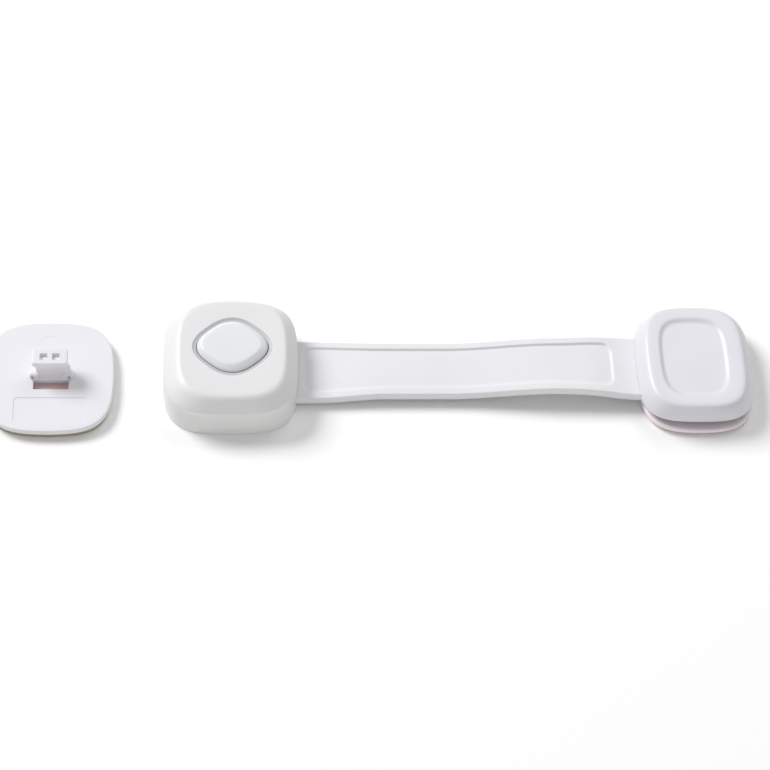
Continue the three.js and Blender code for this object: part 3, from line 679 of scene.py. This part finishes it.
def makeStrap():
    bends = {j["name"]: Vector(j["pos_m"]) for j in frame["joints"] if j["name"].startswith("strap_bend")}
    order = ["strap_bend_lock", "strap_bend_middle", "strap_bend_anchor"]
    places = [bends[n].x / mm - lockMid.x for n in order]
    cuts = [strap["start"], (places[0] + places[1]) / 2, (places[1] + places[2]) / 2, strapEnd]
    nodes = [["strap_root", "strap_link_1"], ["strap_link_2"], ["strap_paddle"]]
    for i, name in enumerate(("strapNear", "strapMiddle", "strapFar")):
        rings = [strapRing(x) for x in strapStations(cuts[i], cuts[i + 1])]
        piece = makePiece(name, loft(rings), strap["sharp"])
        holes = strapHoles(name)
        if holes:
            carve(piece, holes, sharp=strap["sharp"])
        dress(piece, strapFinish, None, nodes[i])
        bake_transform(piece)


makeStrap()
print("strap made")

anchor = {
    "capHalf": (24.0, 27.0), "capTopHalf": (18.8, 24.2), "capBottom": 6.0, "capBack": 0.7,
    "shoulder": ((0.0, 0.0), (0.4, 0.2), (0.84, 0.66), (1.0, 1.0)),     # share of the height, share inwards
    "shoulderSoft": 2.6, "footSoft": 0.45, "wall": 2.0, "insideSoft": 0.2,
    "panelHalf": (12.3, 17.6), "panelDepth": 1.0, "panelSlope": 1.6, "panelAside": (-0.8, 0.6),
    "panelSoft": 0.75, "panelWall": 1.6,
    "panelCrown": ((0.7, 0.05), (0.35, 0.1)), "crownTop": 0.12,         # share of the panel, rise
    "core": 0.2,                                                        # small ring in the middle of a face
    "slotGap": 0.07, "slotRun": (-12, 0, 4, 8, 13),                     # stations from where the strap goes in
    "plateTop": 3.3, "plateEdge": 1.4, "plateGrow": 0.8,
    "thrust": 7.0, "stud": 4.5, "studBore": 1.2, "playUnder": 0.2,
}
pad = {"bulge": 0.14, "inset": 0.1, "soft": 0.1, "flatShare": 0.4, "steps": 6}


def strapSlot():
    # the strap's own section, a little larger and open below
    rings = []
    for x in [strapIn + run for run in anchor["slotRun"]]:
        ring = strapRing(x, anchor["slotGap"])
        rings.append([Vector((p.x, p.y, p.z if p.z > strapHeight(x) + 1 else 0)) for p in ring])
    return makeCutter(rings)


def makeCap():
    top = boxOf("anchor_cap")[1].z
    bottom, wall, soft, core = anchor["capBottom"], anchor["wall"], anchor["panelSoft"], anchor["core"]
    panelX, panelY = anchor["panelHalf"]
    panelZ, slope = top - anchor["panelDepth"], anchor["panelSlope"]
    under = panelZ - anchor["panelWall"]
    aside, back = anchor["panelAside"]

    def half(s, inset=0.0):
        return [mix(h, t, s) - inset for h, t in zip(anchor["capHalf"], anchor["capTopHalf"])]

    stops = [Stop(core, core, under)]
    for t, s in reversed(anchor["shoulder"]):
        stops.append(Stop(*half(s, wall), mix(bottom, under, t), anchor["insideSoft"]))
    for t, s in anchor["shoulder"]:
        shoulderSoft = anchor["footSoft"] if t == 0 else anchor["shoulderSoft"]
        stops.append(Stop(*half(s), mix(bottom, top, t), shoulderSoft, 1, anchor["capBack"]))
    stops.append(Stop(panelX + slope, panelY + slope, top, soft, 1, back, aside))
    stops.append(Stop(panelX, panelY, panelZ, soft, 1, back, aside))
    for share, crown in anchor["panelCrown"]:
        stops.append(Stop(panelX * share, panelY * share, panelZ + crown, 0, 1, back, aside))
    stops.append(Stop(core, core, panelZ + anchor["crownTop"], 0, 1, back, aside))
    cap = makePiece("anchorCap", loft(ringsOf(softened(stops), (capOutline, capOutline), middleOf("anchor_cap"))))
    carve(cap, [strapSlot()])
    return dress(cap, anchorFinish, "strap_end", ["anchor_cap"])


def makeAnchorBase():
    low, high = boxOf("anchor_base")
    half = halfOf("anchor_base") + Vector((0, anchor["plateGrow"], 0))
    top, play = anchor["plateTop"], anchor["playUnder"]
    thrust, stud, bore = anchor["thrust"], anchor["stud"], anchor["studBore"]
    seat = paddleBottom - play
    stops = [                             # shape 0 is round, 1 the plate's outline
        Stop(0.5, 0.5, low.z, 0, 0), Stop(half.x - 0.4, half.y - 0.4, low.z, 0.3),
        Stop(half.x, half.y, low.z + 0.5, 0.4), Stop(half.x, half.y, top, anchor["plateEdge"]),
        Stop(half.x - 3, half.y - 3, top, 0.3),
        Stop(thrust + 0.2, thrust + 0.2, top, 0.2, 0), Stop(thrust, thrust, seat, 0.2, 0),
        Stop(stud, stud, seat, 0.1, 0), Stop(stud, stud, high.z, 0.3, 0),
        Stop(bore, bore, high.z, 0.1, 0), Stop(bore, bore, top + 0.2, 0, 0),
    ]
    rings = ringsOf(softened(stops), (roundOutline(outlineCount), plateOutline), anchorMid)
    # the base takes the finish with painted light, brighter for its rim in the cap's shade
    return dress(makePiece("anchorBase", loft(rings)), paintedLightRimFinish, "anchor_foot", ["anchor_base"])


def makePad(name, node, body, grow=0):
    # die-cut foam: its edge bulges a little between the two liners
    low, high = boxOf(node)
    half, middle = halfOf(node) + Vector((0, grow, 0)), middleOf(node)
    inset, flat, steps = pad["inset"], pad["flatShare"], pad["steps"]
    stops = [Stop(half.x * flat, half.y * flat, low.z), Stop(half.x - inset, half.y - inset, low.z, pad["soft"])]
    for k in range(1, steps):
        out = pad["bulge"] * math.sin(math.pi * k / steps) - inset
        stops.append(Stop(half.x + out, half.y + out, mix(low.z, high.z, k / steps)))
    stops += [Stop(half.x - inset, half.y - inset, high.z, pad["soft"]), Stop(half.x * flat, half.y * flat, high.z)]
    piece = makePiece(name, loft(ringsOf(softened(stops), (plateOutline, plateOutline), middle)))
    return dress(piece, padFinish, body, [node])


makeCap()
makeAnchorBase()
makePad("anchorPad", "anchor_pad", "anchor_foot")
print("anchor made")

catch = {
    "top": 4.8, "edge": 0.8, "plateGrow": 1.1,
    "hookHalf": (7.25, 4.0), "waistHalf": (6.15, 2.6), "hookBack": 2.4, "hookAside": 0.7, "hookPower": 9,
    "neckBottom": 1.5, "neckTop": 7.6, "lipBottom": 8.4,          # above the plate
    "coreHalf": 1.45, "coreCorner": 0.4, "coreSpacing": 2.5, "coreDepth": 1.45, "coreBack": -0.3,
    "windowFront": -6.4,
    "lugReach": 9.0, "lugRadius": 1.45, "lugRound": 0.9, "lugY": -0.1, "lugSink": 0.1,
    "lugHole": 0.6, "lugHoleIn": 1.5, "lugHoleRun": (-3, 0.6),
    "label": (14.7, -22.3, -10.5, 0.22),                          # half width, front, rear, depth
    "labelCorner": 1.0, "labelFlare": 0.15, "labelSpan": 6,
    "gateMark": (-1.2, 16.6, 3.6, 0.07), "gateFlare": 0.1,        # x, y, radius, depth
    "cutOver": 0.2,
}
hookMid = Vector((catchMid.x + catch["hookAside"], catchMid.y + catch["hookBack"], 0))


def makeHook(high):
    top = catch["top"]
    hookX, hookY = catch["hookHalf"]
    waistX, waistY = catch["waistHalf"]
    stops = [
        Stop(hookX + 0.5, hookY + 0.3, top - 0.3), Stop(hookX, hookY, top + 0.3, 0.3),
        Stop(waistX, waistY, top + catch["neckBottom"], 0.9),
        Stop(waistX, waistY, top + catch["neckTop"], 0.4),
        Stop(hookX, hookY, top + catch["lipBottom"], 0.35),
        Stop(hookX, hookY, high.z, 0.5), Stop(hookX - 2, hookY - 2, high.z),
    ]
    boxy = bulgedOutline(catch["hookPower"], 120)
    return makePiece("hook", loft(ringsOf(softened(stops), (boxy, boxy), hookMid)))


def makeLug(side):
    # short round ear beside the hook with a pin hole facing the front
    radius, bevel, hole, sink = [catch[n] for n in ("lugRadius", "lugRound", "lugHole", "lugSink")]
    y, z = catchMid.y + catch["lugY"], catch["top"] + radius - sink
    start, end = catch["waistHalf"][0] - 1, catch["lugReach"]
    profile = [(start, radius), (end - bevel, radius)]
    for a in (0.4, 0.8, 1.2, math.pi / 2):
        profile.append((end - bevel + bevel * math.sin(a), radius - bevel + bevel * math.cos(a)))
    rings = []
    for x, r in profile:
        rings.append([Vector((hookMid.x + side * x, y + side * p.x * r, z + p.y * r)) for p in roundOutline(40)])
    lug = makePiece("lug", loft(rings))
    holeX = hookMid.x + side * (end - catch["lugHoleIn"])
    carve(lug, [makeCutter([[Vector((holeX + p.x * hole, y + run, z + sink - p.y * hole)) for p in roundOutline(24)]
                            for run in catch["lugHoleRun"]])])
    return lug


def plateCutters():
    # label recess, gate mark and the window in front of the hook
    top, over = catch["top"], catch["top"] + catch["cutOver"]
    labelHalf, front, rear, depth = catch["label"]
    label = cornered(labelHalf, (rear - front) / 2, catch["labelCorner"], 120)
    labelY = catchMid.y + (front + rear) / 2
    labelRings = [flatRing(label, hookMid.x, labelY, z, 1 + flare / labelHalf, 1 + flare / catch["labelSpan"])
                  for flare, z in ((0.0, top - depth), (catch["labelFlare"], over))]
    gateX, gateY, radius, gateDepth = catch["gateMark"]
    gateRings = [flatRing(roundOutline(64), hookMid.x + gateX, catchMid.y + gateY, z, r)
                 for r, z in ((radius, top - gateDepth), (radius + catch["gateFlare"], over))]
    hookX, hookY = catch["hookHalf"]
    window = blockCutter((hookMid.x - hookX, catchMid.y + catch["windowFront"], 0),
                         (hookMid.x + hookX, hookMid.y - hookY, top + 1))
    return [makeCutter(labelRings), makeCutter(gateRings), window]


def wellCutter(side, high):
    # moulding core in the hook's top, a little wider upwards
    outline = cornered(catch["coreHalf"], catch["coreHalf"], catch["coreCorner"], 40)
    x, y = hookMid.x + side * catch["coreSpacing"], hookMid.y + catch["coreBack"]
    levels = ((0.9, high.z - catch["coreDepth"]), (1.0, high.z - 0.3), (1.25, high.z + catch["cutOver"]))
    return makeCutter([flatRing(outline, x, y, z, grow) for grow, z in levels])


def makeCatch():
    low, high = boxOf("catch_plate")
    half = halfOf("catch_plate") + Vector((0, catch["plateGrow"], 0))
    top, edge = catch["top"], catch["edge"]
    stops = [
        Stop(0.5, 0.5, low.z), Stop(half.x - 0.5, half.y - 0.5, low.z, 0.3),
        Stop(half.x, half.y, low.z + 0.6, 0.4), Stop(half.x, half.y, top, edge),
        Stop(half.x - 4, half.y - 4, top), Stop(half.x * 0.5, half.y * 0.5, top), Stop(0.5, 0.5, top),
    ]
    plate = makePiece("catchPlate", loft(ringsOf(softened(stops), (plateOutline, plateOutline), catchMid)))
    carve(plate, plateCutters())
    carve(plate, [makeHook(high), makeLug(-1), makeLug(1)], "UNION")
    carve(plate, [wellCutter(-1, high), wellCutter(1, high)])
    return dress(plate, catchFinish, "catch", ["catch_plate"])


makeCatch()
makePad("catchPad", "catch_pad", "catch", catch["plateGrow"])
print("catch made")

decoyCoil = {"axis": "z", "turns": 2.2, "wire": 0.4, "travel": 1.5, "fixedEnd": 0}
sideCoil = {"axis": "y", "turns": 4, "wire": 0.3, "travel": 2.5}


def makeCoil(name, node, coil):
    low, high = boxOf(node)
    half, middle = halfOf(node), middleOf(node)
    axis, turns, wire = coil["axis"], coil["turns"], coil["wire"]
    along = "xyz".index(axis)
    span = (high - low)[along]
    radius = half.x - wire
    rings, steps = [], int(turns * 36)
    for k in range(steps + 1):
        a = math.tau * turns * (k / steps)
        lift = wire + (span - 2 * wire) * (k / steps)
        out = Vector((math.cos(a), math.sin(a), 0))
        ring = []
        for p in roundOutline(10):
            q = out * (radius + wire * p.x) + Vector((0, 0, lift + wire * p.y))
            turned = Vector((q.x, q.y, q.z - half.z)) if axis == "z" else Vector((q.x, q.z - half.y, -q.y))
            ring.append(middle + turned)
        rings.append(ring)
    piece = makePiece(name, loft(rings))
    piece.data.flip_normals()
    dress(piece, springFinish, "lock_head", [node])
    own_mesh(piece)


makeCoil("decoyCoil", "decoy_spring", decoyCoil)
makeCoil("frontCoil", "front_spring", {**sideCoil, "fixedEnd": 1})
makeCoil("rearCoil", "rear_spring", {**sideCoil, "fixedEnd": 0})

# pieces that are kept from the frame
innerNodes = ("lock_base", "latch_bridge", "strap_keeper", "front_latch", "rear_latch")
keptFinish = {name: innerFinish for name in innerNodes}
for name in frame["nodes"]:
    if "screw" in name or "washer" in name:
        keptFinish[name] = screwFinish
for name, finish in keptFinish.items():
    node = frame["nodes"][name]
    node.data.materials.clear()
    node.data.materials.append(finish)
print("inner pieces dressed:", len(keptFinish))

studio = {
    "worldStrength": 0.37,
    "keyDirection": (-0.95, 0.68, 1.0), "keyDistance": 3.2, "keySize": 1.5, "keyPower": 78.0,
    "rightDirection": (0.5, 0.75, 1.0), "rightDistance": 1.8, "rightSize": 1.2, "rightPower": 6.5,
    "frontDirection": (0.15, -1.0, 0.16), "frontDistance": 1.8, "frontSize": 0.8, "frontPower": 5.0,
    "floorHalf": 3.0, "floorColor": (0.93, 0.915, 0.87), "floorSeen": (1.04, 1.04, 1.04),
    "elevation": 55.5, "distance": 1.004, "aim": (-0.0526, -0.0036, 0.0),
    "sensor": 36, "lens": 2450 / 770 * 36, "shiftX": 145 / 770,
}


def makeFloor():
    size = studio["floorHalf"]
    mesh = bpy.data.meshes.new("table")
    mesh.from_pydata([(-size, -size, 0), (size, -size, 0), (size, size, 0), (-size, size, 0)], [], [(0, 1, 2, 3)])
    floor = bpy.data.objects.new("table", mesh)
    bpy.context.scene.collection.objects.link(floor)
    f = Finish("paleTable")
    straight, mirrored, through = [f.node("ShaderNodeLightPath", {}, {}, ray)
                                   for ray in ("Is Camera Ray", "Is Glossy Ray", "Is Transmission Ray")]
    plain, seen = [(*studio[n], 1) for n in ("floorColor", "floorSeen")]
    color = f.blend(straight + mirrored + through, plain, seen)
    floor.data.materials.append(f.surface({"Color": color}, "ShaderNodeBsdfDiffuse"))


def makeLight():
    world = bpy.data.worlds.new("studio")
    world.use_nodes = True
    background = world.node_tree.nodes["Background"]
    background.inputs["Color"].default_value = (1, 1, 1, 1)
    background.inputs["Strength"].default_value = studio["worldStrength"]
    bpy.context.scene.world = world
    for name in ("key", "right", "front"):
        light = bpy.data.lights.new(name, "AREA")
        light.shape = "DISK"
        light.size = studio[name + "Size"]
        light.energy = studio[name + "Power"]
        lamp = bpy.data.objects.new(name, light)
        direction = Vector(studio[name + "Direction"]).normalized()
        lamp.location = direction * studio[name + "Distance"]
        lamp.rotation_euler = direction.to_track_quat("Z", "Y").to_euler()
        bpy.context.scene.collection.objects.link(lamp)


def makeCamera():
    data = bpy.data.cameras.new("camera")
    data.sensor_width = studio["sensor"]
    data.lens = studio["lens"]
    data.shift_x = studio["shiftX"]
    data.clip_end = 20
    camera = bpy.data.objects.new("camera", data)
    tilt = math.radians(studio["elevation"])
    aim = Vector(studio["aim"])
    camera.location = aim + studio["distance"] * Vector((0, -math.cos(tilt), math.sin(tilt)))
    camera.rotation_euler = (math.pi / 2 - tilt, 0, 0)
    bpy.context.scene.collection.objects.link(camera)
    bpy.context.scene.camera = camera


makeFloor()
makeLight()
makeCamera()
bpy.context.scene.view_settings.view_transform = "Standard"

print("scene ready")
